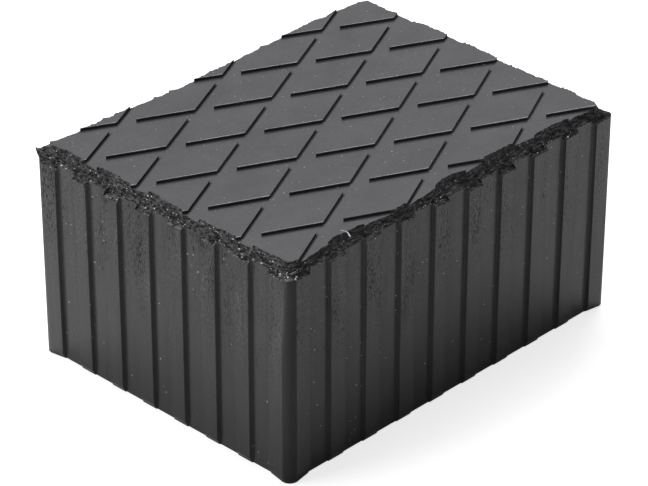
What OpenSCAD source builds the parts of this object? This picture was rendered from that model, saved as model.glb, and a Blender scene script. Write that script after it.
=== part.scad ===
// Moulded rubber support block: ribbed upright walls, a tread of diamond pads on top,
// and a rim along the top edge where the moulding flash was torn away.
// Origin at the centre of the resting face, +Z up, the long side along X, in millimetres.

/* [Block] */
// Length of the block along X
block_length = 160; // [120:1:220]
// Width of the block along Y
block_width = 120; // [80:1:160]
// Height from the resting face to the floor of the tread
block_height = 80; // [30:1:120]
// Radius of the four upright corners
corner_radius = 3.4; // [1.5:0.1:5]

/* [Wall grooves] */
// Depth of the upright grooves in all four walls
groove_depth = 1.4; // [1:0.1:3.5]
// Bevel along the mouth of each groove
groove_bevel = 0.3; // [0.2:0.1:0.8]
// Distance from groove to groove on the long walls
long_pitch = 16.4; // [13:0.1:24]
// Width of a groove on the long walls
long_groove = 9.2; // [5:0.1:11]
// Distance from groove to groove on the short walls
short_pitch = 15.3; // [13:0.1:24]
// Width of a groove on the short walls
short_groove = 8.5; // [5:0.1:11]
// Least width of the plain rib left at each corner
corner_rib = 8; // [7:0.5:14]

/* [Tread] */
// Height of the diamond pads above the tread floor
pad_height = 1; // [0.5:0.1:3]
// Length of a pad along X, from corner to corner
pad_length = 37.6; // [20:0.1:44]
// Width of a pad along Y, from corner to corner
pad_width = 18.4; // [10:0.1:21]
// Distance along X between the pads of one row
pad_pitch_x = 50; // [44:0.1:80]
// Distance along Y between the pads of one column
pad_pitch_y = 24.4; // [21:0.1:40]

/* [Torn rim] */
// Height of the torn rim, from the tread floor down to the tear line on the walls
rim_height = 3.8; // [2:0.1:8]
// How far the tear runs in from the walls at the front left corner
tear_front_left = 3.6; // [3:0.1:6]
// How far the tear runs in at the front right corner
tear_front_right = 4.6; // [3:0.1:6]
// How far the tear runs in at the back right corner
tear_back_right = 1.2; // [1:0.1:6]
// How far the tear runs in at the back left corner
tear_back_left = 3.2; // [1:0.1:6]
// Depth of the ragged bites along the torn edge
tear_bite = 0.6; // [0:0.1:0.8]
// Longest facet along the torn rim
tear_grain = 3.2; // [2.6:0.2:8]
// Radius of the torn edge at the corners
tear_radius = 2.6; // [1:0.1:5]
// How far the flash spike stands out at the back left corner
flash_reach = 0.9; // [0:0.1:1.3]
// Number that picks the pattern of the tear
tear_seed = 7; // [1:1:99]

/* [Hidden] */

// Tear line on the walls, and the height where the rim meets the plain ribbed walls below it
tear_line = block_height - rim_height;
rim_base = tear_line - 2;

// Steps of the torn slope between wall and tread: share of its width, share of its height
slope_low = [0.35, 0.28];
slope_high = [0.7, 0.66];

// Unevenness of the slope as a share of its width and of its height, and of the tear line in mm
slope_shift = 0.12;
slope_lift = 0.09;
line_wander = 0.35;

// Width of the flash spike along the corner, and its lift on the slope
flash_width = 2.6;
flash_lift = 1.1;

// The pads reach down into the block, and stop just inside the torn edge
pad_root = 0.6;
pad_setback = 0.3;

// Inside the block, the rim runs in to one depth all round and laps over the core
widest_tear = max(tear_front_left, tear_front_right, tear_back_right, tear_back_left);
rim_depth = widest_tear + 1.5 * tear_bite + 2;
rim_lap = 1;
rim_inner_radius = 1;

// Thickness of the plate under the tread, which ends at the torn edge
tread_plate = 1.2;

// Half of the spread that keeps the two edges of a groove wall apart where they run into the slope
groove_spread = 0.5;
// Degrees between the points of a corner arc
arc_step = 15;

// Walls are numbered 0 front, 1 right, 2 back and 3 left. Corner k is where wall k starts.
function wall_length(k) = k % 2 == 0 ? block_length : block_width;
function wall_pitch(k) = k % 2 == 0 ? long_pitch : short_pitch;
function wall_groove(k) = k % 2 == 0 ? long_groove : short_groove;
function wall_reach(k) = wall_length(k) / 2 - corner_radius;
function corner_tear(k) = [tear_front_left, tear_front_right, tear_back_right, tear_back_left][k % 4];

// Grooves are centred on their wall, as many as leave a plain rib at both corners
function groove_room(k) = wall_length(k) - 2 * corner_rib - wall_groove(k);
function groove_count(k) = max(0, 1 + floor(groove_room(k) / wall_pitch(k)));
function groove_centre(k, i) = (i - (groove_count(k) - 1) / 2) * wall_pitch(k);

// A point given along wall 0 and up from it, turned to wall k
function quarter_turn(p, k) = k == 0 ? p : quarter_turn([-p[1], p[0]], k - 1);
function on_wall(k, along, inset) = quarter_turn([along, inset - wall_length(k + 1) / 2], k);
function on_corner(k, inset, radius, angle) =
    quarter_turn([wall_length(k) / 2 - inset - radius * (1 - sin(angle)),
                  inset + radius * (1 - cos(angle)) - wall_length(k + 1) / 2], k);

// A station is [wall, place along it, inset from it, place along the torn edge, angle on the corner]
function wall_station(k, along, inset, side) =
    [k, along, inset, along + side * groove_spread * (1 - 2 * inset / groove_depth), 0];
function groove_side(k, centre, side) =
    let (edge = centre + side * wall_groove(k) / 2)
    [wall_station(k, edge + side * groove_bevel, 0, side),
     wall_station(k, edge, groove_bevel, side),
     wall_station(k, edge, groove_depth, side)];
function backwards(list) = [for (i = [len(list) - 1 : -1 : 0]) list[i]];
function groove_stations(k, centre) =
    concat(groove_side(k, centre, -1), backwards(groove_side(k, centre, 1)));
function wall_stations(k) = concat(
    [wall_station(k, -wall_reach(k), 0, 0)],
    [for (i = [0 : 1 : groove_count(k) - 1]) each groove_stations(k, groove_centre(k, i))],
    [wall_station(k, wall_reach(k), 0, 0)]);
function corner_stations(k) =
    [for (angle = [arc_step : arc_step : 90 - arc_step]) [k, wall_reach(k), 0, wall_reach(k), angle]];

// Stations added between neighbours until none lie further apart than the given gap
function pieces(a, b, gap) = max(1, ceil(norm([b[1] - a[1], b[2] - a[2]]) / gap));
function divided(list, gap) = concat(
    [for (i = [0 : len(list) - 2])
        let (count = pieces(list[i], list[i + 1], gap))
        for (j = [0 : count - 1]) list[i] + (list[i + 1] - list[i]) * j / count],
    [list[len(list) - 1]]);
plain_stations = [for (k = [0 : 3]) each concat(wall_stations(k), corner_stations(k))];
rim_stations =
    [for (k = [0 : 3]) each concat(divided(wall_stations(k), tear_grain), corner_stations(k))];
station_count = len(rim_stations);

// Outline of the ribbed walls
function wall_point(s) =
    s[4] > 0 ? on_corner(s[0], 0, corner_radius, s[4]) : on_wall(s[0], s[1], s[2]);

// Torn edge on the tread floor: even between its corner values, with shallow scallops and bites
bites = rands(-1, 1, station_count, tear_seed);
function scallop(k, share) = -tear_bite * sin(180 * share) * sin(540 * share + 50 * k);
function torn_inset(k, share, bite) =
    corner_tear(k) + (corner_tear(k + 1) - corner_tear(k)) * share + scallop(k, share)
    + bite * tear_bite / 2;
function torn_reach(k, end) = wall_length(k) / 2 - corner_tear(end) - tear_radius;
function torn_along(k, place) =
    place / wall_reach(k) * (place < 0 ? torn_reach(k, k) : torn_reach(k, k + 1));
function torn_point(i, setback) =
    let (s = rim_stations[i], k = s[0], share = (1 + s[1] / wall_reach(k)) / 2)
    s[4] > 0 ? on_corner(k, corner_tear(k + 1) + setback, tear_radius, s[4])
             : on_wall(k, torn_along(k, s[3]), torn_inset(k, share, bites[i]) + setback);
function torn_edge(setback) = [for (i = [0 : station_count - 1]) torn_point(i, setback)];

// Flash spike: strongest at the middle of the back left corner, fading along the rim
flash_tip = on_corner(2, 0, corner_radius, 45);
flash_way = [-1, 1] / sqrt(2);
function flash(p) = flash_reach > 0 ? exp(-pow(norm(p - flash_tip) / flash_width, 2)) : 0;

// Rings of the torn rim: up the outside to the torn edge, and back down inside the block
function raised(p, z) = [p[0], p[1], z];
base_ring = [for (s = rim_stations) raised(wall_point(s), rim_base)];
line_wobble = rands(-line_wander, line_wander, station_count, tear_seed + 1);
line_ring = [for (i = [0 : station_count - 1])
    raised(wall_point(rim_stations[i]), tear_line + line_wobble[i])];
function slope_ring(step, seed) =
    let (shifts = rands(-slope_shift, slope_shift, station_count, seed),
         lifts = rands(-slope_lift, slope_lift, station_count, seed + 1))
    [for (i = [0 : station_count - 1])
        let (wall = wall_point(rim_stations[i]),
             spike = flash(wall) * (1 - step[0]),
             share = (step[0] + shifts[i]) * (1 - spike),
             rise = (step[1] + lifts[i]) * rim_height + spike * flash_lift)
        raised(wall + (torn_point(i, 0) - wall) * share + flash_way * spike * flash_reach,
               tear_line + rise)];
edge_ring = [for (p = torn_edge(0)) raised(p, block_height)];
function inner_reach(k) = wall_length(k) / 2 - rim_depth - rim_inner_radius;
function inner_point(s) =
    s[4] > 0 ? on_corner(s[0], rim_depth, rim_inner_radius, s[4])
             : on_wall(s[0], s[3] / wall_reach(s[0]) * inner_reach(s[0]), rim_depth);
function inner_ring(z) = [for (s = rim_stations) raised(inner_point(s), z)];
rings = [base_ring, line_ring, slope_ring(slope_low, tear_seed + 2),
         slope_ring(slope_high, tear_seed + 4), edge_ring,
         inner_ring(block_height - tread_plate / 2), inner_ring(rim_base - rim_lap)];

// Two triangles between ring r and the next, from station i on
function ring_index(r, i) = (r % len(rings)) * station_count + i % station_count;
function rim_facets(r, i) = [
    [ring_index(r, i), ring_index(r + 1, i), ring_index(r + 1, i + 1)],
    [ring_index(r, i), ring_index(r + 1, i + 1), ring_index(r, i + 1)]];

module ribbed_walls() {
    linear_extrude(rim_base)
        polygon([for (s = plain_stations) wall_point(s)]);
}

module torn_rim() {
    polyhedron(
        points = [for (ring = rings) each ring],
        faces = [for (r = [0 : len(rings) - 1]) for (i = [0 : station_count - 1]) each rim_facets(r, i)],
        convexity = 6);
}

// What the rim surrounds: the plate under the tread, and the solid below it
module core() {
    inset = rim_depth - rim_lap;
    floor_height = rim_base - 2 * rim_lap;
    translate([0, 0, block_height - tread_plate])
        linear_extrude(tread_plate)
            polygon(torn_edge(0));
    translate([inset - block_length / 2, inset - block_width / 2, floor_height])
        cube([block_length - 2 * inset, block_width - 2 * inset,
              block_height - tread_plate / 2 - floor_height]);
}

module diamond() {
    polygon([[pad_length / 2, 0], [0, pad_width / 2], [-pad_length / 2, 0], [0, -pad_width / 2]]);
}

// Staggered pads: half pitches whose column and row numbers add up to an odd number
module diamond_field() {
    columns = ceil(block_length / pad_pitch_x) + 1;
    rows = ceil(block_width / pad_pitch_y) + 1;
    for (column = [-columns : columns])
        for (row = [-rows : rows])
            if (abs(column + row) % 2 == 1)
                translate([column * pad_pitch_x / 2, row * pad_pitch_y / 2])
                    diamond();
}

module tread() {
    translate([0, 0, block_height - pad_root])
        linear_extrude(pad_root + pad_height)
            intersection() {
                diamond_field();
                polygon(torn_edge(pad_setback));
            }
}

module rubber_block() {
    color([0.25, 0.25, 0.26]) {
        ribbed_walls();
        torn_rim();
        core();
        tread();
    }
}

rubber_block();
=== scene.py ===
"""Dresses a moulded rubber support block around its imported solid, in metres and in the same frame.

The block is one piece of black rubber. Its four walls carry upright ribs, its tread carries staggered
diamond pads, and the flash along its upper rim was torn away and left a rough, crumbling slope.
The block's own axes: +X along the long side, +Z up, the origin at the centre of the resting face.
"""

import logging
import math
import random
from dataclasses import dataclass, field
from enum import Enum, IntEnum
from typing import Callable, Iterable, Sequence, Union

import bmesh
import bpy
from mathutils import Matrix, Vector, noise


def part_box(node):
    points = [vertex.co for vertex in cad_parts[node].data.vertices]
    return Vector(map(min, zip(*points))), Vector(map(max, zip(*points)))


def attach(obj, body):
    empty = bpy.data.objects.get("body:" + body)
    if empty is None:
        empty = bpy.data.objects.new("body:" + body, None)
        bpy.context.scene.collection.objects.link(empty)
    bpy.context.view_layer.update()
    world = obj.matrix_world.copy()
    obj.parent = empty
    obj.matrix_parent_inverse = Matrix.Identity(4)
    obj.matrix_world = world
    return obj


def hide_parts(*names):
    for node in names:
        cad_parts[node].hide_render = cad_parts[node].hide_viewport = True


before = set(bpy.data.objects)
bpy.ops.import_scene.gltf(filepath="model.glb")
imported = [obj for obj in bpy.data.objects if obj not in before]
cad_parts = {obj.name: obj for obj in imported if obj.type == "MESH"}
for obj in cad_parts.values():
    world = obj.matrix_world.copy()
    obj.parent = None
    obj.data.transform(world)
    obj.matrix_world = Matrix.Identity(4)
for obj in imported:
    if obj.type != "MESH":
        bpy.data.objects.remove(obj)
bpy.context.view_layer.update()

LOG = logging.getLogger("rubber_block")
MM = 0.001
NODE = "rubber_block"
BODY = "root"
UP = Vector((0.0, 0.0, 1.0))
NEAR = 0.01 * MM
STEP_SEED = 4.2
LINE_SEED = 9.1
LUMP_SEED = 3.3
FIBRE_SEED = 6.4
SHIFT_SEED = 8.8
END_SEED = 2.2

Ring = list[bmesh.types.BMVert]
Faces = list[bmesh.types.BMFace]
Socket = bpy.types.NodeSocket
Value = Union[Socket, float]
Triple = tuple[float, float, float]
Colour = Triple
QUARTERS = ((1, 1), (1, -1), (-1, 1), (-1, -1))


class Skin(IntEnum):
    """Material slots of the moulded block, in slot order."""

    WALL = 0
    EASED = 1
    TREAD = 2
    TORN = 3
    SOLE = 4
    GROOVE = 5
    SIDE = 6
    FOOT = 7
    DUSTY = 8


class Wall(IntEnum):
    """The four walls, counter-clockwise as seen from above."""

    FRONT = 0
    RIGHT = 1
    BACK = 2
    LEFT = 3

    @property
    def outward(self) -> Vector:
        """Direction out of this wall."""
        return (Vector((0, -1, 0)), Vector((1, 0, 0)), Vector((0, 1, 0)), Vector((-1, 0, 0)))[self]

    @property
    def along(self) -> Vector:
        """Direction of travel along this wall."""
        return UP.cross(self.outward)

    @property
    def following(self) -> "Wall":
        """The wall that starts where this one ends."""
        return Wall((self + 1) % len(Wall))


# Mesh helpers


def ring_edges(ring: Ring) -> list[bmesh.types.BMEdge]:
    """Finds the edges between the neighbours of a closed ring.

    Args:
        ring: Vertices in order round the ring.

    Returns:
        One edge for each pair of neighbours.
    """
    found = []
    for first, second in zip(ring, ring[1:] + ring[:1]):
        found.append(next(e for e in first.link_edges if e.other_vert(first) is second))
    return found


def ordered_ring(edges: Iterable[bmesh.types.BMEdge]) -> Ring:
    """Puts the vertices of one closed loop of edges in order, counter-clockwise from above.

    Args:
        edges: The loop's edges, in any order.

    Returns:
        The loop's vertices in order.
    """
    loop = set(edges)
    first = next(iter(sorted(loop, key=lambda e: e.index)))
    ring = [first.verts[0], first.verts[1]]
    loop.discard(first)
    while loop:
        step = next((e for e in ring[-1].link_edges if e in loop), None)
        if step is None:
            break
        loop.discard(step)
        ring.append(step.other_vert(ring[-1]))
    ring.pop()
    turn = sum(a.co.x * b.co.y - b.co.x * a.co.y for a, b in zip(ring, ring[1:] + ring[:1]))
    return ring if turn > 0 else ring[::-1]


def extrude_ring(bm: bmesh.types.BMesh, ring: Ring, skin: Skin) -> Ring:
    """Extrudes a closed ring once and keeps its order.

    Args:
        bm: The mesh that holds the ring.
        ring: Vertices in order round the ring.
        skin: Material slot of the new faces.

    Returns:
        The new ring, still at the old one's place, in the same order.
    """
    made = bmesh.ops.extrude_edge_only(bm, edges=ring_edges(ring))["geom"]
    fresh = {v for v in made if isinstance(v, bmesh.types.BMVert)}
    for item in made:
        if isinstance(item, bmesh.types.BMFace):
            item.material_index = skin
    return [next(e.other_vert(v) for e in v.link_edges if e.other_vert(v) in fresh) for v in ring]


def cut(bm: bmesh.types.BMesh, faces: Iterable[bmesh.types.BMFace], point: Vector, normal: Vector) -> None:
    """Cuts some faces along a plane.

    Args:
        bm: The mesh that holds the faces.
        faces: The faces to cut.
        point: A point of the plane.
        normal: The plane's normal.
    """
    geometry = set(faces)
    for face in list(geometry):
        geometry.update(face.edges)
        geometry.update(face.verts)
    bmesh.ops.bisect_plane(bm, geom=list(geometry), dist=NEAR, plane_co=point, plane_no=normal)


def wobble(spot: Vector, size: float, seed: float) -> float:
    """Smooth noise from about -1 to 1.

    Args:
        spot: Where it is read.
        size: Distance over which it changes.
        seed: Number that picks the pattern.

    Returns:
        The noise value.
    """
    return 1.6 * noise.noise(spot / size + Vector((seed, 1.7 * seed, -0.6 * seed)))


def between(knots: Sequence[float], share: float) -> float:
    """Reads a value between evenly spaced knots, with eased steps.

    Args:
        knots: Values at even steps from share 0 to share 1.
        share: Where to read.

    Returns:
        The value there.
    """
    place = min(max(share, 0.0), 1.0) * (len(knots) - 1)
    index = min(int(place), len(knots) - 2)
    blend = place - index
    return knots[index] + (knots[index + 1] - knots[index]) * blend * blend * (3 - 2 * blend)


def as_object(name: str, bm: bmesh.types.BMesh, finishes: Sequence[bpy.types.Material]) -> bpy.types.Object:
    """Makes a finished piece of a mesh, with its place in its vertices.

    Args:
        name: Name of the piece.
        bm: The mesh. It is freed.
        finishes: Materials in slot order.

    Returns:
        The new object, linked to the scene.
    """
    mesh = bpy.data.meshes.new(name)
    bm.to_mesh(mesh)
    bm.free()
    for finish in finishes:
        mesh.materials.append(finish)
    piece = bpy.data.objects.new(name, mesh)
    bpy.context.scene.collection.objects.link(piece)
    return piece


# Form of the block


@dataclass(frozen=True)
class Grooving:
    """Upright grooves of one pair of walls: pitch from groove to groove, and width of a groove."""

    pitch: float
    width: float
    corner_rib: float = 8 * MM

    def centres(self, length: float) -> list[float]:
        """Places the grooves, centred on their wall.

        Args:
            length: Length of the wall.

        Returns:
            The centre of each groove, measured from the wall's middle.
        """
        count = max(0, 1 + math.floor((length - 2 * self.corner_rib - self.width) / self.pitch))
        return [(i - (count - 1) / 2) * self.pitch for i in range(count)]


@dataclass
class RibbedWalls:
    """The plain lower body: four upright ribbed walls and the resting face."""

    length: float
    width: float
    tear_line: float
    corner_radius: float = 3.4 * MM
    corner_steps: int = 8
    long_grooves: Grooving = Grooving(pitch=16.4 * MM, width=9.2 * MM)
    short_grooves: Grooving = Grooving(pitch=15.3 * MM, width=8.5 * MM)
    groove_depth: float = 1.4 * MM
    mouth_ease: float = 0.25 * MM
    root_ease: float = 0.1 * MM
    sole_ease: float = 0.2 * MM
    ease_steps: int = 3
    foot_height: float = 2.2 * MM
    foot_depth: float = 1.2 * MM

    def build(self, bm: bmesh.types.BMesh) -> Ring:
        """Builds the walls and the resting face, open at the top.

        Args:
            bm: The mesh to build in.

        Returns:
            The ring of vertices along the tear line.
        """
        self._make_tube(bm)
        self._sink_grooves(bm)
        self._ease_grooves(bm)
        self._close_sole(bm)
        self._wear_feet(bm)
        top = [e for e in bm.edges if e.is_boundary]
        return ordered_ring(top)

    def _make_tube(self, bm: bmesh.types.BMesh) -> None:
        """Makes the four walls and rounds the upright corners. The near corner gets the darker eased finish, which
        is painted shade.

        Args:
            bm: The mesh to build in.
        """
        size = Matrix.Diagonal((self.length, self.width, self.tear_line, 1))
        bmesh.ops.create_cube(bm, matrix=Matrix.Translation(UP * self.tear_line / 2) @ size)
        ends = [f for f in bm.faces if abs(f.normal.z) > 0.5]
        bmesh.ops.delete(bm, geom=ends, context="FACES_ONLY")
        corners = [e for e in bm.edges if len(e.link_faces) == 2]
        bmesh.ops.bevel(bm, geom=corners, offset=self.corner_radius, segments=self.corner_steps,
                        profile=0.5, affect="EDGES", material=Skin.EASED)
        for face in bm.faces:
            spot = face.calc_center_median()
            if max(spot.x, spot.y) > 0:
                face.material_index = Skin.WALL

    def _sink_grooves(self, bm: bmesh.types.BMesh) -> None:
        """Cuts the walls at the grooves' edges and pushes the strips between them inwards.

        Args:
            bm: The mesh to build in.
        """
        for wall, length, grooves in ((Wall.FRONT, self.length, self.long_grooves),
                                      (Wall.RIGHT, self.width, self.short_grooves)):
            across, outward = wall.along, wall.outward
            centres = grooves.centres(length)
            for centre in centres:
                for side in (-0.5, 0.5):
                    cut(bm, bm.faces, across * (centre + side * grooves.width), across)
            strips = []
            for face in bm.faces:
                place = face.calc_center_median().dot(across)
                if abs(face.normal.dot(outward)) > 0.99 and any(
                        abs(place - centre) < grooves.width / 2 for centre in centres):
                    strips.append(face)
            sunk = bmesh.ops.extrude_discrete_faces(bm, faces=strips)["faces"]
            bm.normal_update()
            # The groove sides and floors get their own copies of the wall rubber with painted light: the sides
            # paler, the floors with lifted darks.
            for face in sunk:
                for edge in face.edges:
                    for side in edge.link_faces:
                        side.material_index = Skin.SIDE
            for face in sunk:
                face.material_index = Skin.GROOVE
                bmesh.ops.translate(bm, vec=-self.groove_depth * face.normal, verts=face.verts)
        bm.normal_update()
        shelves = [f for f in bm.faces if abs(f.normal.z) > 0.9]
        bmesh.ops.delete(bm, geom=shelves, context="FACES")

    def _ease_grooves(self, bm: bmesh.types.BMesh) -> None:
        """Rounds the grooves' mouths, which are worn smooth, and their roots. The mouths get the darker eased
        finish, which is painted shade.

        Args:
            bm: The mesh to build in.
        """
        mouths, roots = [], []
        for edge in bm.edges:
            if len(edge.link_faces) == 2 and edge.calc_face_angle(0) > math.radians(80):
                spot = edge.verts[0].co
                depth = min(self.length / 2 - abs(spot.x), self.width / 2 - abs(spot.y))
                (mouths if depth < NEAR else roots).append(edge)
        bmesh.ops.bevel(bm, geom=mouths, offset=self.mouth_ease, segments=self.ease_steps,
                        profile=0.5, affect="EDGES", material=Skin.EASED)
        bmesh.ops.bevel(bm, geom=[e for e in roots if e.is_valid], offset=self.root_ease,
                        segments=self.ease_steps, profile=0.5, affect="EDGES", material=-1)

    def _close_sole(self, bm: bmesh.types.BMesh) -> None:
        """Fills the resting face and eases its rim.

        Args:
            bm: The mesh to build in.
        """
        rim = [e for e in bm.edges if e.is_boundary and all(v.co.z < NEAR for v in e.verts)]
        bmesh.ops.edgeloop_fill(bm, edges=rim, mat_nr=Skin.SOLE, use_smooth=False)
        bmesh.ops.bevel(bm, geom=rim, offset=self.sole_ease, segments=1,
                        profile=0.5, affect="EDGES", material=Skin.EASED)

    def _wear_feet(self, bm: bmesh.types.BMesh) -> None:
        """Slants the lowest part of the ribs inwards, where they are worn, but not at the corners.

        Args:
            bm: The mesh to build in.
        """
        walls = [f for f in bm.faces if abs(f.normal.z) < 0.5]
        cut(bm, walls, UP * self.foot_height, UP)
        for vert in bm.verts:
            if vert.co.z > self.foot_height / 2:
                continue
            for wall, half_out, half_along in ((Wall.FRONT, self.width / 2, self.length / 2),
                                               (Wall.RIGHT, self.length / 2, self.width / 2)):
                out, along = vert.co.dot(wall.outward), abs(vert.co.dot(wall.along))
                fade = min(1.0, max(0.0, (half_along - self.corner_radius - along) / self.corner_radius))
                depth = half_out - abs(out)
                if depth < self.foot_depth * fade:
                    vert.co -= wall.outward * math.copysign(self.foot_depth * fade - depth, out)


@dataclass(frozen=True)
class TornPath:
    """Where the tear meets the tread. Places along it are distances round the plain outline.

    The insets are read along each wall in its direction of travel, at even steps.
    """

    length: float
    width: float
    corner_radius: float
    torn_radius: float = 2.4 * MM
    front: tuple[float, ...] = (3.3 * MM, 4.2 * MM, 3.4 * MM, 5.0 * MM, 5.2 * MM, 4.2 * MM, 3.3 * MM)
    right: tuple[float, ...] = (4.5 * MM, 4.1 * MM, 3.2 * MM, 1.4 * MM, 1.2 * MM, 1.2 * MM, 1.1 * MM)
    back: tuple[float, ...] = (1.0 * MM, 0.9 * MM, 2.2 * MM, 3.3 * MM, 3.7 * MM, 2.4 * MM, 2.3 * MM)
    left: tuple[float, ...] = (3.5 * MM, 4.3 * MM, 3.8 * MM, 4.0 * MM, 3.2 * MM, 3.5 * MM, 3.4 * MM)
    step_length: float = 11 * MM
    step_depth: float = 0.35 * MM
    bite_sizes: tuple[float, ...] = (3.1 * MM, 1.1 * MM)
    bite_depths: tuple[float, ...] = (0.30 * MM, 0.14 * MM)
    core_depth: float = 9 * MM

    def half_out(self, wall: Wall) -> float:
        """Distance from the middle of the block out to a wall."""
        return (self.length if wall % 2 else self.width) / 2

    def half_along(self, wall: Wall) -> float:
        """Half of a wall's length."""
        return (self.width if wall % 2 else self.length) / 2

    def reach(self, wall: Wall) -> float:
        """Half of a wall's straight stretch."""
        return self.half_along(wall) - self.corner_radius

    @property
    def arc(self) -> float:
        """Length of one rounded corner."""
        return self.corner_radius * math.pi / 2

    def start(self, wall: Wall) -> float:
        """Place where a wall's straight stretch starts."""
        return sum(2 * self.reach(Wall(k)) + self.arc for k in range(wall))

    @property
    def round_trip(self) -> float:
        """Length of the whole outline."""
        return self.start(Wall.LEFT) + 2 * self.reach(Wall.LEFT) + self.arc

    def place(self, spot: Vector) -> float:
        """Finds where a point of the ribbed walls lies along the plain outline.

        Args:
            spot: The point.

        Returns:
            Its distance round the outline.
        """
        found = []
        for wall in Wall:
            along, out = spot.dot(wall.along), spot.dot(wall.outward)
            reach, heart = self.reach(wall), self.half_out(wall) - self.corner_radius
            if abs(along) <= reach + NEAR:
                found.append((abs(self.half_out(wall) - out), self.start(wall) + along + reach))
            elif along > reach and out > heart:
                angle = math.atan2(along - reach, out - heart)
                found.append((0.0, self.start(wall) + 2 * reach + self.corner_radius * angle))
        return min(found)[1]

    def spread(self, spots: Sequence[Vector], blend: int = 5) -> list[float]:
        """Places a ring of points along the outline, with the points of a groove's side spread out.

        Args:
            spots: Points of the ring in order.
            blend: Neighbours on each side over which a step along the outline is shared out.

        Returns:
            One place for each point, rising all the way round.
        """
        places = [self.place(spot) for spot in spots]
        count = len(places)
        steps = [(places[(i + 1) % count] - places[i]) % self.round_trip for i in range(count)]
        window = 2 * blend + 1
        even = [sum(steps[(i + j) % count] for j in range(-blend, blend + 1)) / window for i in range(count)]
        spread, at = [], places[0]
        for step in even:
            spread.append(at % self.round_trip)
            at += step
        return spread

    def inset(self, wall: Wall, share: float) -> float:
        """How far in from a wall the tear meets the tread.

        Args:
            wall: The wall.
            share: Place along it, from 0 to 1.

        Returns:
            The smooth inset, without bites.
        """
        return between((self.front, self.right, self.back, self.left)[wall], share)

    def point(self, place: float) -> Vector:
        """Gives the torn edge's point for a place along the outline.

        Args:
            place: Distance round the outline.

        Returns:
            The point, at height 0.
        """
        wall = max((w for w in Wall if self.start(w) <= place), default=Wall.FRONT)
        local, stretch = place - self.start(wall), 2 * self.reach(wall)
        before, after = Wall((wall - 1) % len(Wall)), wall.following
        first = -self.half_along(wall) + self.inset(before, 1) + self.torn_radius
        last = self.half_along(wall) - self.inset(after, 0) - self.torn_radius
        if local <= stretch:
            share = local / stretch
            outward = wall.outward
            base = wall.along * (first + (last - first) * share)
            base += outward * (self.half_out(wall) - self.inset(wall, share))
        else:
            angle = (local - stretch) / self.corner_radius
            outward = wall.outward * math.cos(angle) + wall.along * math.sin(angle)
            heart = self.half_out(wall) - self.inset(wall, 1) - self.torn_radius
            base = wall.along * last + wall.outward * heart + outward * self.torn_radius
        return base - outward * self.bite(base)

    def bite(self, spot: Vector) -> float:
        """Ragged share of the tear: broad steps with finer bites on them.

        Args:
            spot: Point of the smooth torn edge.

        Returns:
            How far further in the edge lies here.
        """
        stepped = math.tanh(3 * wobble(spot, self.step_length, STEP_SEED))
        depth = self.step_depth * stepped
        for size, fine in zip(self.bite_sizes, self.bite_depths):
            depth += fine * wobble(spot, size, size / MM)
        return depth

    def outward(self, spot: Vector) -> Vector:
        """Direction from the tread out to the nearest wall.

        Args:
            spot: Point near the rim.

        Returns:
            The level unit direction.
        """
        room_x, room_y = self.length / 2 - self.core_depth, self.width / 2 - self.core_depth
        inner = Vector((max(-room_x, min(room_x, spot.x)), max(-room_y, min(room_y, spot.y)), 0))
        return (Vector((spot.x, spot.y, 0)) - inner).normalized()


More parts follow.
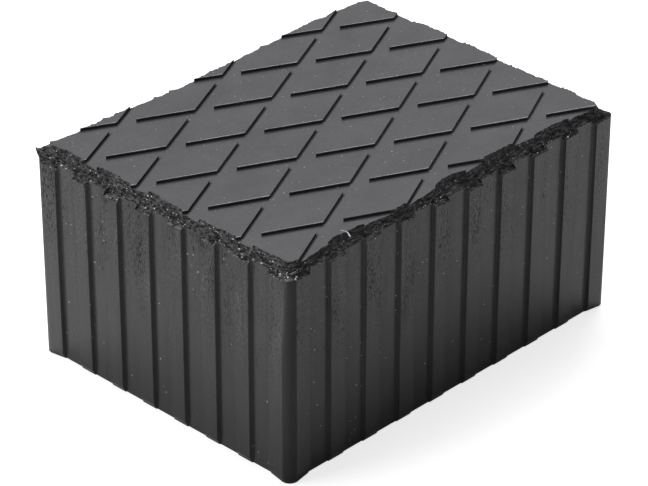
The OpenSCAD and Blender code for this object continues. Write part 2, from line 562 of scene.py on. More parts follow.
@dataclass
class TornRim:
    """The rough slope that was left along the upper rim when the flash was torn away.

    The four rows of rises lift or lower the tear line from rib_line. They are read along each wall in
    its direction of travel, at even steps. In the grooves the line stands at groove_line and follows
    the rises by groove_share.
    """

    path: TornPath
    floor: float
    groove_depth: float
    rib_line: float = 75.7 * MM
    groove_line: float = 76.9 * MM
    groove_share: float = 0.6
    front: tuple[float, ...] = (0.3 * MM, 0.9 * MM, 1.2 * MM, 0.0, -0.7 * MM, 0.4 * MM, 0.0)
    right: tuple[float, ...] = (0.0, -0.4 * MM, 0.3 * MM, 0.5 * MM, -0.2 * MM, 0.3 * MM, 0.0)
    back: tuple[float, ...] = (0.0, 0.5 * MM, 0.3 * MM, -0.4 * MM, 0.2 * MM, -0.5 * MM, -1.0 * MM)
    left: tuple[float, ...] = (-1.0 * MM, -1.6 * MM, -1.4 * MM, 0.2 * MM, 0.6 * MM, 0.7 * MM, 0.3 * MM)
    line_sizes: tuple[float, ...] = (5.2 * MM, 1.4 * MM)
    line_depths: tuple[float, ...] = (0.28 * MM, 0.16 * MM)
    facet: float = 0.36 * MM
    steps: int = 15
    lump_sizes: tuple[float, ...] = (6.0 * MM, 2.3 * MM, 1.0 * MM, 0.5 * MM)
    lump_depths: tuple[float, ...] = (0.35 * MM, 0.30 * MM, 0.15 * MM, 0.08 * MM)
    rough_share: float = 0.7
    fibre_length: float = 4.0 * MM
    fibre_width: float = 0.7 * MM
    fibre_depth: float = 0.24 * MM
    shift_size: float = 0.9 * MM
    shift_depth: float = 0.18 * MM
    sag: float = 0.24
    lip_sag: float = 1.2
    lip_width: float = 3.4 * MM
    spike_width: float = 1.7 * MM
    spike_place: float = 0.3
    spike_spread: float = 0.15
    spike_reach: float = 2.1 * MM
    spike_lift: float = 3.4 * MM
    web_width: float = 4.6 * MM
    web_blend: float = 0.2
    web_drop: float = 0.35 * MM
    skin: list[list[Vector]] = field(default_factory=list)

    def build(self, bm: bmesh.types.BMesh, ring: Ring) -> Ring:
        """Builds the slope from the tear line up to the tread.

        Args:
            bm: The mesh to build in.
            ring: The open ring along the top of the walls.

        Returns:
            The ring of vertices along the torn edge, level with the tread.
        """
        ring = self._divide(bm, ring)
        feet = [v.co.copy() for v in ring]
        goals = [self.path.point(place) for place in self.path.spread(feet)]
        for vert, foot in zip(ring, feet):
            foot.z = self._line_height(foot)
            vert.co = foot
        self.skin = [feet]
        for step in range(1, self.steps + 1):
            ring = extrude_ring(bm, ring, Skin.TORN)
            for vert, foot, goal in zip(ring, feet, goals):
                vert.co = self._slope_point(foot, goal, step / self.steps)
            self.skin.append([v.co.copy() for v in ring])
        return ring

    def _divide(self, bm: bmesh.types.BMesh, ring: Ring) -> Ring:
        """Divides the top edges of the walls until none is longer than a facet.

        Args:
            bm: The mesh that holds the walls.
            ring: The open ring along the top of the walls.

        Returns:
            The same ring with its new vertices.
        """
        by_cuts: dict[int, list[bmesh.types.BMEdge]] = {}
        for edge in ring_edges(ring):
            cuts = math.ceil(edge.calc_length() / self.facet) - 1
            if cuts > 0:
                by_cuts.setdefault(cuts, []).append(edge)
        for cuts, edges in by_cuts.items():
            bmesh.ops.subdivide_edges(bm, edges=edges, cuts=cuts)
        return ordered_ring(e for e in bm.edges if e.is_boundary)

    def _depth(self, spot: Vector) -> float:
        """How far a point lies behind the plain wall."""
        return min(self.path.length / 2 - abs(spot.x), self.path.width / 2 - abs(spot.y))

    def _line_height(self, foot: Vector) -> float:
        """Height of the ragged tear line at a point of the walls.

        Args:
            foot: The point, on a rib, in a groove or between them.

        Returns:
            The height above the resting face.
        """
        behind = min(1.0, max(0.0, self._depth(foot) / self.groove_depth))
        place = self.path.place(foot)
        wall = max((w for w in Wall if self.path.start(w) <= place), default=Wall.FRONT)
        share = (place - self.path.start(wall)) / (2 * self.path.reach(wall))
        rise = between((self.front, self.right, self.back, self.left)[wall], share)
        height = self.rib_line + rise
        height += (self.groove_line + self.groove_share * rise - height) * behind
        for size, depth in zip(self.line_sizes, self.line_depths):
            height += depth * wobble(foot, size, LINE_SEED)
        return height

    def _corner(self, foot: Vector, sign_x: int, sign_y: int, width: float) -> float:
        """Nearness to one of the upright corners.

        Args:
            foot: The point.
            sign_x: Side of the corner along X, 1 or -1.
            sign_y: Side of the corner along Y, 1 or -1.
            width: Distance over which the nearness falls off.

        Returns:
            The nearness, from 0 to 1.
        """
        inset = self.path.corner_radius * (1 - math.sqrt(0.5))
        tip = Vector((sign_x * (self.path.length / 2 - inset), sign_y * (self.path.width / 2 - inset), 0))
        return math.exp(-(((foot - tip).xy.length / width) ** 2))

    def _slope_point(self, foot: Vector, goal: Vector, share: float) -> Vector:
        """Places one point of the slope.

        Args:
            foot: The point's foot on the tear line.
            goal: The torn edge above it.
            share: From 0 at the foot to 1 at the torn edge.

        Returns:
            The point, held inside the block's own box.
        """
        lip = self._corner(foot, 1, -1, self.lip_width)
        rise = share - self.sag * (1 + self.lip_sag * lip) * math.sin(math.pi * share)
        level = foot.lerp(goal, share)
        spot = Vector((level.x, level.y, foot.z + (self.floor - foot.z) * rise))
        outward = self.path.outward(spot)
        side = UP.cross(outward)
        window = math.sin(math.pi * share) ** 0.5 if share < 1 else 0.0
        spot += (outward + UP) * (self.rough_share * window * self._roughness(spot, outward, side))
        spot += side * (window * self.shift_depth * wobble(spot, self.shift_size, SHIFT_SEED))
        return self._inside(self._flashed(spot, foot, outward, share))

    def _roughness(self, spot: Vector, outward: Vector, side: Vector) -> float:
        """Lumps and drawn fibres of the torn surface.

        Args:
            spot: The point on the smooth slope.
            outward: Direction out to the nearest wall.
            side: Direction along that wall.

        Returns:
            How far the surface stands out here.
        """
        rough = sum(depth * wobble(spot, size, LUMP_SEED + size / MM)
                    for size, depth in zip(self.lump_sizes, self.lump_depths))
        drawn = Vector((spot.dot(side) / self.fibre_length, spot.dot(outward) / self.fibre_width,
                        spot.z / self.fibre_width))
        return rough + self.fibre_depth * wobble(drawn, 1.0, FIBRE_SEED)

    def _flashed(self, spot: Vector, foot: Vector, outward: Vector, share: float) -> Vector:
        """Adds the tip of flash that still stands at the back left corner, and the web behind it.

        Args:
            spot: The point on the rough slope.
            foot: The point's foot on the tear line.
            outward: Direction out to the nearest wall.
            share: From 0 at the foot to 1 at the torn edge.

        Returns:
            The moved point.
        """
        offset = (share - self.spike_place) / self.spike_spread
        spike = self._corner(foot, -1, 1, self.spike_width) * math.exp(-offset ** 2)
        spot = spot + outward * (spike * self.spike_reach) + UP * (spike * self.spike_lift)
        behind = min(1.0, max(0.0, (share - self.spike_place) / self.web_blend))
        web = self._corner(foot, -1, 1, self.web_width) * behind
        spot.z += web * max(0.0, self.floor - self.web_drop * (1 - share) - spot.z)
        return spot

    def _inside(self, spot: Vector) -> Vector:
        """Holds a point inside the block's box."""
        room_x, room_y = self.path.length / 2 - NEAR, self.path.width / 2 - NEAR
        return Vector((max(-room_x, min(room_x, spot.x)), max(-room_y, min(room_y, spot.y)), spot.z))


@dataclass
class DiamondTread:
    """The tread: a level floor with staggered diamond pads that the tear cuts off at the rim."""

    path: TornPath
    floor: float
    pad_height: float
    pad_length: float = 37.6 * MM
    pad_width: float = 18.4 * MM
    pitch_x: float = 50.0 * MM
    pitch_y: float = 24.4 * MM
    pad_ease: float = 0.12 * MM
    # width of the painted shade along the pads' right near sides
    shade_width: float = 0.75 * MM
    dust_and_highlight_width: float = 0.38 * MM
    ease_steps: int = 3
    torn_run: float = 0.7 * MM
    torn_size: float = 0.9 * MM
    rim_margin: float = 4 * MM
    least_edge: float = 0.16 * MM
    least_area: float = 8 * MM * MM

    def build(self, bm: bmesh.types.BMesh, ring: Ring) -> None:
        """Closes the block with the tread and raises the pads.

        Args:
            bm: The mesh to build in.
            ring: The ring along the torn edge.
        """
        bmesh.ops.edgeloop_fill(bm, edges=ring_edges(ring), mat_nr=Skin.TREAD, use_smooth=False)
        self._cut_cells(bm)
        for centre in self._centres():
            self._raise_pad(bm, centre)

    def _level_faces(self, bm: bmesh.types.BMesh) -> Faces:
        """Faces of the tread that are still at floor height."""
        return [f for f in bm.faces if f.material_index == Skin.TREAD
                and abs(f.verts[0].co.z - self.floor) < NEAR and abs(f.normal.z) > 0.9]

    def _cut_cells(self, bm: bmesh.types.BMesh) -> None:
        """Cuts the floor into diamond cells, one for each pad.

        Args:
            bm: The mesh to build in.
        """
        half_x, half_y = self.pitch_x / 2, self.pitch_y / 2
        reach = math.ceil(self.path.length / 2 / half_x + self.path.width / 2 / half_y)
        for slant in (1, -1):
            normal = Vector((1 / half_x, slant / half_y, 0)).normalized()
            for line in range(-reach - reach % 2, reach + 1, 2):
                bm.normal_update()
                cut(bm, self._level_faces(bm), Vector((line * half_x, 0, self.floor)), normal)

    def _centres(self) -> list[Vector]:
        """Places the pads in staggered rows: column and row numbers add up to an odd number.

        Returns:
            The pads' centres, row by row.
        """
        half_x, half_y = self.pitch_x / 2, self.pitch_y / 2
        columns = math.ceil(self.path.length / 2 / half_x) + 1
        rows = math.ceil(self.path.width / 2 / half_y) + 1
        return [Vector((column * half_x, row * half_y, self.floor))
                for row in range(-rows, rows + 1) for column in range(-columns, columns + 1)
                if (column + row) % 2]

    def covers(self, centre: Vector, spot: Vector) -> bool:
        """Whether a pad covers a spot of the tread, with a little to spare."""
        offset = spot - centre
        return abs(offset.x) / self.pad_length + abs(offset.y) / self.pad_width < 0.48

    def whole_pads(self) -> list[Vector]:
        """Finds the pads that the tear does not cut.

        Returns:
            Their centres.
        """
        reach_x = self.path.length / 2 - self.pad_length / 2 - self.rim_margin
        reach_y = self.path.width / 2 - self.pad_width / 2 - self.rim_margin
        return [c for c in self._centres() if abs(c.x) < reach_x and abs(c.y) < reach_y]

    @staticmethod
    def _within(face: bmesh.types.BMFace, centre: Vector, half_x: float, half_y: float) -> bool:
        """Whether a face lies inside a diamond."""
        middle = face.calc_center_median() - centre
        return abs(middle.x) / half_x + abs(middle.y) / half_y < 1

    def _raise_pad(self, bm: bmesh.types.BMesh, centre: Vector) -> None:
        """Cuts one pad's outline into its cell, raises it and eases its rim.

        Args:
            bm: The mesh to build in.
            centre: Centre of the pad.
        """
        bm.normal_update()
        if not self._cell_faces(bm, centre):
            return
        self._cut_outline(bm, centre)
        self._paint_foot_shade(bm, centre)
        if sum(f.calc_area() for f in self._pad_faces(bm, centre)) < self.least_area:
            return
        # A strip along the left near sides gets a pale finish: dust and a painted highlight of the rounded edge.
        normal = Vector((-2 / self.pad_length, -2 / self.pad_width, 0)).normalized()
        line = centre + Vector((-self.pad_length / 2, 0, 0)) - normal * self.dust_and_highlight_width
        cut(bm, self._pad_faces(bm, centre), line, normal)
        bm.normal_update()
        short = {e for f in self._pad_faces(bm, centre) for e in f.edges if e.calc_length() < self.least_edge
                 and any(n.material_index == Skin.TORN for n in e.link_faces)}
        bmesh.ops.collapse(bm, edges=list(short))
        tops = self._lift(bm, centre)
        for face in tops:
            if (face.calc_center_median() - line).xy.dot(normal.xy) > 0:
                face.material_index = Skin.DUSTY
        rim = [e for e in {e for f in tops for e in f.edges}
               if any(abs(f.normal.z) < 0.5 and f.material_index == Skin.TREAD for f in e.link_faces)]
        bmesh.ops.bevel(bm, geom=rim, offset=self.pad_ease, segments=self.ease_steps,
                        profile=0.5, affect="EDGES", material=-1)

    def _cell_faces(self, bm: bmesh.types.BMesh, centre: Vector) -> Faces:
        """Floor faces inside a pad's cell."""
        half_x, half_y = self.pitch_x / 2, self.pitch_y / 2
        return [f for f in self._level_faces(bm) if self._within(f, centre, half_x, half_y)]

    def _pad_faces(self, bm: bmesh.types.BMesh, centre: Vector) -> Faces:
        """Floor faces inside a pad's outline."""
        half_x, half_y = self.pad_length / 2, self.pad_width / 2
        return [f for f in self._level_faces(bm) if self._within(f, centre, half_x, half_y)]

    def _cut_outline(self, bm: bmesh.types.BMesh, centre: Vector) -> None:
        """Cuts a pad's four sides into the floor of its cell.

        Args:
            bm: The mesh to build in.
            centre: Centre of the pad.
        """
        half_x, half_y = self.pad_length / 2, self.pad_width / 2
        for side_x, side_y in QUARTERS:
            normal = Vector((side_x / half_x, side_y / half_y, 0)).normalized()
            cut(bm, self._cell_faces(bm, centre), centre + Vector((side_x * half_x, 0, 0)), normal)

    def _lift(self, bm: bmesh.types.BMesh, centre: Vector) -> Faces:
        """Raises a pad off the floor and slopes the end that the tear cuts.

        Args:
            bm: The mesh to build in.
            centre: Centre of the pad.

        Returns:
            The faces of the pad's top.
        """
        pad = self._pad_faces(bm, centre)
        torn = {v for f in pad for v in f.verts if any(n.material_index == Skin.TORN for n in v.link_faces)}
        made = bmesh.ops.extrude_face_region(bm, geom=pad)["geom"]
        raised = [g for g in made if isinstance(g, bmesh.types.BMVert)]
        bmesh.ops.delete(bm, geom=pad, context="FACES")
        bmesh.ops.translate(bm, vec=UP * self.pad_height, verts=raised)
        bm.normal_update()
        if torn:
            self._tear_ends(raised, torn, centre)
        return [g for g in made if isinstance(g, bmesh.types.BMFace)]

    def _paint_foot_shade(self, bm: bmesh.types.BMesh, centre: Vector) -> None:
        """Marks a narrow strip of floor along a pad's right near side with painted shade, for the pad's shadow and
        dark reflection there.

        Args:
            bm: The mesh to build in.
            centre: Centre of the pad.
        """
        bm.normal_update()
        half_x, half_y = self.pad_length / 2, self.pad_width / 2
        corner, normal = Vector((half_x, 0, 0)), Vector((1 / half_x, -1 / half_y, 0)).normalized()
        cut(bm, self._cell_faces(bm, centre), centre + corner + normal * self.shade_width, normal)
        bm.normal_update()
        for face in self._level_faces(bm):
            middle = face.calc_center_median() - centre
            ends = abs(middle.x / half_x + middle.y / half_y)
            if 0 < (middle - corner).dot(normal) < self.shade_width and ends < 1:
                face.material_index = Skin.FOOT

    def _room(self, spot: Vector, way: Vector) -> float:
        """How far a point can move before it leaves its pad.

        Args:
            spot: The point, from the pad's centre.
            way: The level direction of the move.

        Returns:
            The distance to the pad's side.
        """
        room = self.pad_length
        for side_x, side_y in QUARTERS:
            side = Vector((2 * side_x / self.pad_length, 2 * side_y / self.pad_width, 0))
            if side.dot(way) > 0:
                room = min(room, (1 - side.dot(spot)) / side.dot(way))
        return max(0.0, room)

    def _tear_ends(self, raised: Ring, torn: set[bmesh.types.BMVert], centre: Vector) -> None:
        """Slopes the cut end of a pad like the torn rim below it.

        Args:
            raised: Vertices of the pad's top.
            torn: Vertices of its foot that lie on the torn edge.
            centre: Centre of the pad.
        """
        feet = {}
        for vert in raised:
            for edge in vert.link_edges:
                foot = edge.other_vert(vert)
                if foot in torn:
                    feet[vert] = foot
        for face in {f for foot in feet.values() for f in foot.link_faces}:
            if abs(face.normal.z) < 0.5 and sum(v in torn for v in face.verts) > 1:
                face.material_index = Skin.TORN
        for vert, foot in feet.items():
            if all(f.material_index == Skin.TORN or abs(f.normal.z) > 0.5 for f in vert.link_faces):
                way = -self.path.outward(vert.co)
                run = self.torn_run * (1 + 0.5 * wobble(vert.co, self.torn_size, END_SEED))
                vert.co += way * min(run, 0.5 * self._room(vert.co - centre, way))


@dataclass
class MouldedBlock:
    """The whole block as one closed mesh."""

    length: float
    width: float
    height: float
    pad_height: float = 1.0 * MM
    dust_room: float = 0.06 * MM
    rim_height: float = 3.8 * MM
    name: str = "moulded_block"

    def __post_init__(self) -> None:
        """Sets up the walls, the rim and the tread from the block's sizes."""
        floor = self.height - self.pad_height
        self.walls = RibbedWalls(self.length, self.width, tear_line=floor - self.rim_height)
        self.path = TornPath(self.length, self.width, self.walls.corner_radius)
        self.rim = TornRim(self.path, floor, self.walls.groove_depth)
        self.tread = DiamondTread(self.path, floor, self.pad_height - self.dust_room)

    def build(self, finishes: Sequence[bpy.types.Material]) -> bpy.types.Object:
        """Builds the block and dresses it.

        Args:
            finishes: Materials in the order of Skin.

        Returns:
            The block's object.
        """
        bm = bmesh.new()
        line = self.walls.build(bm)
        edge = self.rim.build(bm, line)
        self.tread.build(bm, edge)
        bmesh.ops.recalc_face_normals(bm, faces=bm.faces)
        for face in bm.faces:
            eased = face.material_index == Skin.EASED or self._is_curved(face)
            face.smooth = eased and abs(face.normal.z) < 0.3
        return as_object(self.name, bm, finishes)

    @staticmethod
    def _is_curved(face: bmesh.types.BMFace) -> bool:
        """Whether a wall face belongs to a rounding."""
        return face.material_index == Skin.WALL and max(abs(face.normal.x), abs(face.normal.y)) < 0.999


@dataclass(frozen=True)
class Crumbs:
    """Loose grains of torn rubber that still hang on the rim."""

    name: str
    count: int
    least: float
    most: float
    seed: int
    heart: tuple[float, float] = (0.0, 0.0)
    reach: float = 1.0
    sunk: float = 0.6

    def build(self, rim: TornRim, finish: bpy.types.Material) -> bpy.types.Object:
        """Scatters the grains over the torn slope.

        Args:
            rim: The torn rim, after it was built.
            finish: Material of the grains.

        Returns:
            All grains as one object.
        """
        draw = random.Random(self.seed)
        heart = Vector(self.heart)
        spots = [spot for row in rim.skin[2:-2] for spot in row if (spot.xy - heart).length < self.reach]
        bm = bmesh.new()
        for _ in range(self.count):
            radius = draw.uniform(self.least, self.most)
            spot = spots[draw.randrange(len(spots))]
            turn = Matrix.Rotation(draw.uniform(0, math.tau), 4, Vector((draw.random(), draw.random(), 0.3)))
            shape = Matrix.Diagonal((1, draw.uniform(0.5, 0.9), draw.uniform(0.4, 0.8), 1))
            spot = spot - rim.path.outward(spot) * radius * self.sunk
            bmesh.ops.create_icosphere(bm, subdivisions=1, radius=radius,
                                       matrix=Matrix.Translation(spot) @ turn @ shape)
        half_x, half_y = rim.path.length / 2, rim.path.width / 2
        for vert in bm.verts:
            vert.co += noise.noise_vector(vert.co / (0.4 * MM)) * 0.25 * self.least
            vert.co.x = min(max(vert.co.x, -half_x), half_x)
            vert.co.y = min(max(vert.co.y, -half_y), half_y)
        return as_object(self.name, bm, [finish])


@dataclass(frozen=True)
class TreadDust:
    """White grains on the tread, some of them crowded along the pads' near edges."""

    name: str
    edge_count: int = 24
    loose_count: int = 420
    least: float = 0.04 * MM
    most: float = 0.22 * MM
    edge_width: float = 0.45 * MM
    margin: float = 9 * MM
    flatness: float = 0.3
    sunk: float = 0.1
    seed: int = 31

    def build(self, tread: DiamondTread, finish: bpy.types.Material) -> bpy.types.Object:
        """Scatters the grains.

        Args:
            tread: The tread that they lie on.
            finish: Material of the grains.

        Returns:
            All grains as one object.
        """
        draw = random.Random(self.seed)
        bm = bmesh.new()
        reach_x, reach_y = tread.path.length / 2 - self.margin, tread.path.width / 2 - self.margin
        left, near = Vector((-tread.pad_length / 2, 0, 0)), Vector((0, -tread.pad_width / 2, 0))
        for centre in tread.whole_pads():
            for _ in range(draw.randrange(self.edge_count)):
                share = 0.02 + 0.96 * draw.random() ** draw.choice((1.0, 3.0))
                spot = centre + left.lerp(near, share) + UP * tread.pad_height
                inwards = (centre - spot).normalized()
                inwards.z = 0
                self._grain(bm, draw, spot + inwards * draw.uniform(0.1, 1) * self.edge_width)
        for _ in range(self.loose_count):
            spot = Vector((draw.uniform(-reach_x, reach_x), draw.uniform(-reach_y, reach_y), tread.floor))
            on_pad = any(tread.covers(centre, spot) for centre in tread.whole_pads())
            self._grain(bm, draw, spot + UP * (tread.pad_height if on_pad else 0.0))
        return as_object(self.name, bm, [finish])

    def _grain(self, bm: bmesh.types.BMesh, draw: random.Random, spot: Vector) -> None:
        """Adds one grain.

        Args:
            bm: The mesh to build in.
            draw: Source of the chances.
            spot: Point of the tread that it lies on.
        """
        radius = self.least + (self.most - self.least) * draw.random() ** 2
        turn = Matrix.Rotation(draw.uniform(0, math.tau), 4, "Z")
        shape = Matrix.Diagonal((1, draw.uniform(0.4, 1.0), self.flatness, 1))
        place = Matrix.Translation(spot - UP * self.sunk * radius)
        bmesh.ops.create_icosphere(bm, subdivisions=1, radius=radius, matrix=place @ turn @ shape)


@dataclass(frozen=True)
class Lint:
    """A short stray thread that lies over the torn edge and grows thicker towards its end."""

    name: str
    points: tuple[Triple, ...]
    ceiling: float
    radius: float = 0.2 * MM
    sides: int = 6

    def build(self, finish: bpy.types.Material) -> bpy.types.Object:
        """Builds the thread as a thin closed tube.

        Args:
            finish: Material of the thread.

        Returns:
            The thread's object.
        """
        bm = bmesh.new()
        made = bmesh.ops.create_circle(bm, cap_ends=True, segments=self.sides, radius=self.radius)
        path = [Vector(point) for point in self.points]
        flat = [vert.co.copy() for vert in made["verts"]]
        ring = made["verts"]
        for index, point in enumerate(path):
            way = path[min(index + 1, len(path) - 1)] - path[max(index - 1, 0)]
            turn = way.to_track_quat("Z", "Y")
            share = 0.6 + 0.8 * index / len(path)
            if index:
                ring = extrude_ring(bm, ring, Skin.WALL)
            for vert, spot in zip(ring, flat):
                vert.co = point + turn @ (spot * share)
                vert.co.z = min(vert.co.z, self.ceiling)
        bmesh.ops.edgeloop_fill(bm, edges=ring_edges(ring))
        bmesh.ops.recalc_face_normals(bm, faces=bm.faces)
        return as_object(self.name, bm, [finish])


# Finishes


class Sheet:
    """A node tree with short calls for adding and wiring its nodes."""

    def __init__(self, tree: bpy.types.NodeTree) -> None:
        """Wraps a node tree.

        Args:
            tree: The tree to add nodes to.
        """
        self.tree = tree

    def add(self, kind: str, inputs: dict | None = None, **settings) -> bpy.types.Node:
        """Adds a node.

        Args:
            kind: Blender's name of the node type.
            inputs: Values or sockets for its inputs, by name or number.
            **settings: Properties of the node.

        Returns:
            The new node.
        """
        node = self.tree.nodes.new(kind)
        for name, value in settings.items():
            setattr(node, name, value)
        for name, value in (inputs or {}).items():
            self.feed(node.inputs[name], value)
        return node

    def feed(self, target: Socket, value: Value | tuple[float, ...]) -> None:
        """Wires a socket into an input, or writes a plain value there.

        Args:
            target: The input.
            value: A socket or a plain value.
        """
        if isinstance(value, bpy.types.NodeSocket):
            self.tree.links.new(value, target)
        else:
            target.default_value = value

    def math(self, operation: str, first: Value, second: Value = 0.0) -> Socket:
        """Adds a Math node and returns its result."""
        return self.add("ShaderNodeMath", {0: first, 1: second}, operation=operation).outputs[0]

    def vector_math(self, operation: str, first: Socket, second: Socket | Triple) -> Socket:
        """Adds a Vector Math node and returns its result."""
        return self.add("ShaderNodeVectorMath", {0: first, 1: second}, operation=operation).outputs[0]

    def remap(self, value: Value, low: float, high: float, to_low: Value = 0.0, to_high: Value = 1.0) -> Socket:
        """Adds a clamped Map Range node and returns its result."""
        names = {"Value": value, "From Min": low, "From Max": high, "To Min": to_low, "To Max": to_high}
        return self.add("ShaderNodeMapRange", names).outputs[0]

    def mix(self, share: float, first: Socket, second: Socket) -> Socket:
        """Adds up two values, the second by its share and the first by the rest, and returns the sum."""
        return self.math("ADD", self.math("MULTIPLY", first, 1 - share), self.math("MULTIPLY", second, share))

    def blend(self, factor: Value, first: Socket | Colour, second: Socket | Colour) -> Socket:
        """Adds a colour Mix node.

        Args:
            factor: Share of the second colour.
            first: Colour at factor 0.
            second: Colour at factor 1.

        Returns:
            The mixed colour.
        """
        node = self.add("ShaderNodeMix", data_type="RGBA")
        self.feed(node.inputs["Factor"], factor)
        for socket, value in ((node.inputs[6], first), (node.inputs[7], second)):
            self.feed(socket, value if isinstance(value, bpy.types.NodeSocket) else (*value, 1.0))
        return node.outputs[2]

    def axes(self, vector: Socket) -> Sequence[Socket]:
        """Splits a vector and returns its three parts."""
        return self.add("ShaderNodeSeparateXYZ", {0: vector}).outputs

    def noise(self, vector: Socket, scale: Value, detail: float = 3.0, roughness: float = 0.55) -> bpy.types.Node:
        """Adds a Noise Texture and returns the node."""
        names = {"Vector": vector, "Scale": scale, "Detail": detail, "Roughness": roughness}
        return self.add("ShaderNodeTexNoise", names)

    def voronoi(self, vector: Socket, scale: Value) -> bpy.types.Node:
        """Adds a Voronoi Texture and returns the node."""
        return self.add("ShaderNodeTexVoronoi", {"Vector": vector, "Scale": scale})

    def bump(self, height: Socket, depth: float, normal: Socket | None = None) -> Socket:
        """Adds a Bump node.

        Args:
            height: Height from 0 to 1.
            depth: Height of 1 in metres.
            normal: Normal that the bumps stand on, if not the surface's own.

        Returns:
            The bumped normal.
        """
        names = {"Strength": 1.0, "Distance": depth, "Height": height}
        return self.add("ShaderNodeBump", names | ({"Normal": normal} if normal else {})).outputs[0]


class Effect(Enum):
    """Node groups that the finishes share."""

    MOTTLE = "rubber_mottle"
    STREAKS = "drawn_streaks"
    SPECKS = "dust_specks"
    PITS = "mould_pits"
    GRAIN = "fine_grain"

    def tree(self) -> bpy.types.NodeTree:
        """Gives this effect's node group, and builds it the first time."""
        found = bpy.data.node_groups.get(self.value)
        return found or EFFECT_MAKERS[self](self.value)

    def place(self, sheet: Sheet, vector: Socket, **inputs: Value) -> Socket:
        """Puts the effect in a material.

        Args:
            sheet: The material's nodes.
            vector: Coordinates that it reads.
            **inputs: Its other inputs by name, in lower case.

        Returns:
            The effect's output.
        """
        node = sheet.add("ShaderNodeGroup", node_tree=self.tree())
        sheet.feed(node.inputs["Vector"], vector)
        for name, value in inputs.items():
            sheet.feed(node.inputs[name.capitalize()], value)
        return node.outputs[0]


class EffectSheet(Sheet):
    """A node group with a Vector input, some number inputs and one number output."""

    def __init__(self, name: str, output: str, **floats: float) -> None:
        """Starts the group.

        Args:
            name: Name of the group.
            output: Name of its output.
            **floats: Default values of its number inputs by name, in lower case.
        """
        super().__init__(bpy.data.node_groups.new(name, "ShaderNodeTree"))
        sockets = self.tree.interface
        sockets.new_socket("Vector", in_out="INPUT", socket_type="NodeSocketVector")
        for key, value in floats.items():
            socket = sockets.new_socket(key.capitalize(), in_out="INPUT", socket_type="NodeSocketFloat")
            socket.default_value = value
        sockets.new_socket(output, in_out="OUTPUT", socket_type="NodeSocketFloat")
        self.inputs = self.add("NodeGroupInput").outputs
        self.vector = self.inputs["Vector"]

    def scale_of(self, key: str) -> Socket:
        """Texture scale for a size input."""
        return self.math("DIVIDE", 1.0, self.inputs[key])

    def finish(self, result: Socket) -> bpy.types.NodeTree:
        """Sends the result out of the group and returns the group."""
        self.tree.links.new(result, self.add("NodeGroupOutput").inputs[0])
        return self.tree


def make_mottle(name: str) -> bpy.types.NodeTree:
    """Broad cloudy patches, from 0 to 1.

    Args:
        name: Name of the group.

    Returns:
        The group.
    """
    sheet = EffectSheet(name, "Mask", size=12 * MM)
    cloud = sheet.noise(sheet.vector, sheet.scale_of("Size"), detail=4.0, roughness=0.6).outputs[0]
    return sheet.finish(sheet.remap(cloud, 0.32, 0.68))


def make_streaks(name: str) -> bpy.types.NodeTree:
    """Soft streaks drawn along Z, from 0 to 1.

    Args:
        name: Name of the group.

    Returns:
        The group.
    """
    sheet = EffectSheet(name, "Mask", size=1.5 * MM)
    scale = sheet.scale_of("Size")
    drawn = sheet.vector_math("MULTIPLY", sheet.vector, (1.0, 1.0, 0.06))
    fine = sheet.noise(drawn, scale, detail=3.0).outputs[0]
    broad = sheet.noise(drawn, sheet.math("DIVIDE", scale, 3.4), detail=2.0).outputs[0]
    return sheet.finish(sheet.remap(sheet.mix(0.5, fine, broad), 0.36, 0.64))


def make_specks(name: str) -> bpy.types.NodeTree:
    """Scattered specks of uneven size, more in some patches: 1 on a speck and 0 beside it.

    Args:
        name: Name of the group.

    Returns:
        The group.
    """
    ragged, patchy = 900.0, 70.0
    sheet = EffectSheet(name, "Mask", spacing=4 * MM, share=0.5, size=0.1, cluster=0.0)
    warp = sheet.noise(sheet.vector, ragged, detail=1.0).outputs[1]
    moved = sheet.vector_math("ADD", sheet.vector, sheet.vector_math("MULTIPLY", warp, (0.6 * MM,) * 3))
    cells = sheet.voronoi(moved, sheet.scale_of("Spacing")).outputs
    lots = sheet.add("ShaderNodeSeparateColor", {0: cells["Color"]}).outputs
    spread = sheet.remap(sheet.math("POWER", lots[1], 1.6), 0.0, 1.0, 0.25, 1.15)
    close = sheet.math("LESS_THAN", cells["Distance"], sheet.math("MULTIPLY", sheet.inputs["Size"], spread))
    patches = sheet.remap(sheet.noise(sheet.vector, patchy, detail=2.0).outputs[0], 0.35, 0.65, -1.0, 1.0)
    more = sheet.math("MULTIPLY", patches, sheet.inputs["Cluster"])
    kept = sheet.math("LESS_THAN", lots[0], sheet.math("ADD", sheet.inputs["Share"], more))
    return sheet.finish(sheet.math("MULTIPLY", close, kept))


def make_pits(name: str) -> bpy.types.NodeTree:
    """Small pits drawn along Z, crowded in patches and only high up: 1 in a pit and 0 beside it.

    Args:
        name: Name of the group.

    Returns:
        The group.
    """
    none_below, all_above, patchy = 30 * MM, 60 * MM, 120.0
    sheet = EffectSheet(name, "Mask", size=0.5 * MM, share=0.4)
    drawn = sheet.vector_math("MULTIPLY", sheet.vector, (1.0, 1.0, 0.25))
    ragged = sheet.noise(drawn, sheet.scale_of("Size"), detail=5.0, roughness=0.7).outputs[0]
    drawn_patches = sheet.vector_math("MULTIPLY", sheet.vector, (1.0, 1.0, 0.3))
    patches = sheet.noise(drawn_patches, patchy, detail=2.0).outputs[0]
    level = sheet.math("ADD", ragged, sheet.math("MULTIPLY", patches, sheet.inputs["Share"]))
    high = sheet.remap(sheet.axes(sheet.vector)[2], none_below, all_above)
    return sheet.finish(sheet.math("MULTIPLY", sheet.remap(level, 0.85, 0.91), high))


